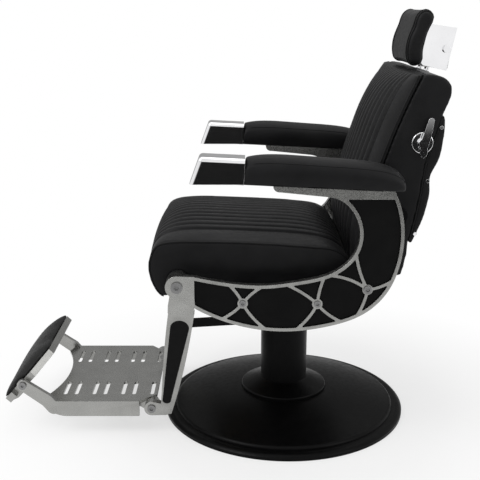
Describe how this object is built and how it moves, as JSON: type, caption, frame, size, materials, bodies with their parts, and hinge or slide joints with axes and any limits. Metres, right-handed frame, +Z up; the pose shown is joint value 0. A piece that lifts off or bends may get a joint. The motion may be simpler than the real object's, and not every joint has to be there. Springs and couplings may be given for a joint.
{
  "type": "barber chair",
  "caption": "Reclining barber chair with ribbed cast side frames, channelled cushions, linked leg rest with folding foot plate, and a height-adjustable swivel base.",
  "frame": {"origin": "on the floor, at the middle of the round base, under the column", "axes": "+Z up, -X to the front of the chair, -Y to the sitter's left"},
  "size_m": [1.1576, 0.7239, 1.089],
  "materials": {
    "black_coat": "satin black powder coat",
    "steel": "bare machined steel",
    "chrome": "polished chrome",
    "cast_alloy": "satin cast aluminium",
    "panel_black": "fine-grained black moulding",
    "leather": "black upholstery leather, soft sheen",
    "rubber": "black moulded rubber",
    "plywood": "plain plywood"
  },
  "bodies": {
    "base": {"base_plate": "steel", "base_cover": "black_coat", "base_collar": "black_coat", "column_sleeve": "black_coat", "pump_cylinder": "steel", "pump_gland": "steel", "pump_bolts": "steel"},
    "lift": {"ram": "chrome", "ram_piston": "steel", "thrust_bearing": "steel"},
    "seat": {"swivel_hub": "steel", "seat_frame": "black_coat", "mount_bolts": "steel", "seat_board": "plywood", "seat_cushion": "leather", "side_frame_left": "cast_alloy", "side_frame_right": "cast_alloy", "frame_panels_left": "panel_black", "frame_panels_right": "panel_black", "frame_screws": "steel", "arm_boards": "panel_black", "arm_pad_left": "leather", "arm_pad_right": "leather", "arm_cap_left": "chrome", "arm_cap_right": "chrome", "arm_screws": "steel", "leg_pivot_bolts": "steel", "back_pivot_bolts": "steel", "back_pivot_spacers": "steel", "pump_lever_bracket": "black_coat", "pump_lever_pin": "steel"},
    "pump_handle": {"pump_lever": "chrome", "pump_lever_grip": "rubber"},
    "back": {"back_arm_left": "black_coat", "back_arm_right": "black_coat", "back_arm_bolts": "steel", "back_shell": "leather", "back_cushion": "leather", "back_panel": "leather", "back_panel_screws": "chrome", "rod_sockets": "steel", "lever_rosette": "chrome", "link_rear_pins": "steel"},
    "recline_handle": {"recline_lever": "chrome"},
    "legrest": {"leg_left": "cast_alloy", "leg_right": "cast_alloy", "leg_insets": "panel_black", "link_front_pins": "steel", "foot_pivot_bolts": "steel"},
    "link": {"link_bars": "black_coat"},
    "footplate": {"foot_plate": "cast_alloy"},
    "flap": {"flap_body": "cast_alloy", "flap_pad": "rubber", "flap_bolts": "steel"},
    "headrest_carrier": {"headrest_rods": "chrome", "headrest_block": "cast_alloy"},
    "headrest": {"headrest_bracket": "chrome", "headrest_knobs": "chrome", "headrest_pad": "leather"}
  },
  "joints": [
    {"name": "lift", "type": "slide", "parent": "base", "child": "lift", "axis": [0, 0, 1], "range_m": [0, 0.16]},
    {"name": "swivel", "type": "hinge", "parent": "lift", "child": "seat", "pos_m": [0, 0, 0.34], "axis": [0, 0, 1], "continuous": true},
    {"name": "back_recline", "type": "hinge", "parent": "seat", "child": "back", "pos_m": [0.1807, 0, 0.4445], "axis": [0, 1, 0], "range_deg": [0, 40]},
    {"name": "leg_swing", "type": "hinge", "parent": "seat", "child": "legrest", "pos_m": [-0.274, 0, 0.4495], "axis": [0, 1, 0], "range_deg": [0, 40]},
    {"name": "link_turn", "type": "hinge", "parent": "legrest", "child": "link", "pos_m": [-0.286, 0, 0.3775], "axis": [0, 1, 0], "range_deg": [-40, 0]},
    {"name": "foot_fold", "type": "hinge", "parent": "legrest", "child": "footplate", "pos_m": [-0.3556, 0, 0.0753], "axis": [0, 1, 0], "range_deg": [0, 50]},
    {"name": "flap_tilt", "type": "hinge", "parent": "footplate", "child": "flap", "pos_m": [-0.6903, 0, 0.1409], "axis": [0, 1, 0], "range_deg": [-10, 60]},
    {"name": "recline_lever", "type": "hinge", "parent": "back", "child": "recline_handle", "pos_m": [0.3045, -0.255, 0.7865], "axis": [0, 1, 0], "range_deg": [0, 25], "stiffness_Nm_per_rad": 1.2, "springref_deg": -8.59},
    {"name": "headrest_slide", "type": "slide", "parent": "back", "child": "headrest_carrier", "axis": [0.3007, 0, 0.9537], "range_m": [0, 0.1]},
    {"name": "headrest_tilt", "type": "hinge", "parent": "headrest_carrier", "child": "headrest", "pos_m": [0.3946, 0, 0.9927], "axis": [0, 1, 0], "range_deg": [0, 35]},
    {"name": "pump_lever", "type": "hinge", "parent": "seat", "child": "pump_handle", "pos_m": [0, 0.07, 0.36], "axis": [1, 0, 0], "range_deg": [-25, 0], "stiffness_Nm_per_rad": 10, "springref_deg": 22.92}
  ],
  "couplings": [
    {"joint": "leg_swing", "follows": "back_recline", "ratio": 1},
    {"joint": "link_turn", "follows": "back_recline", "ratio": -1}
  ]
}
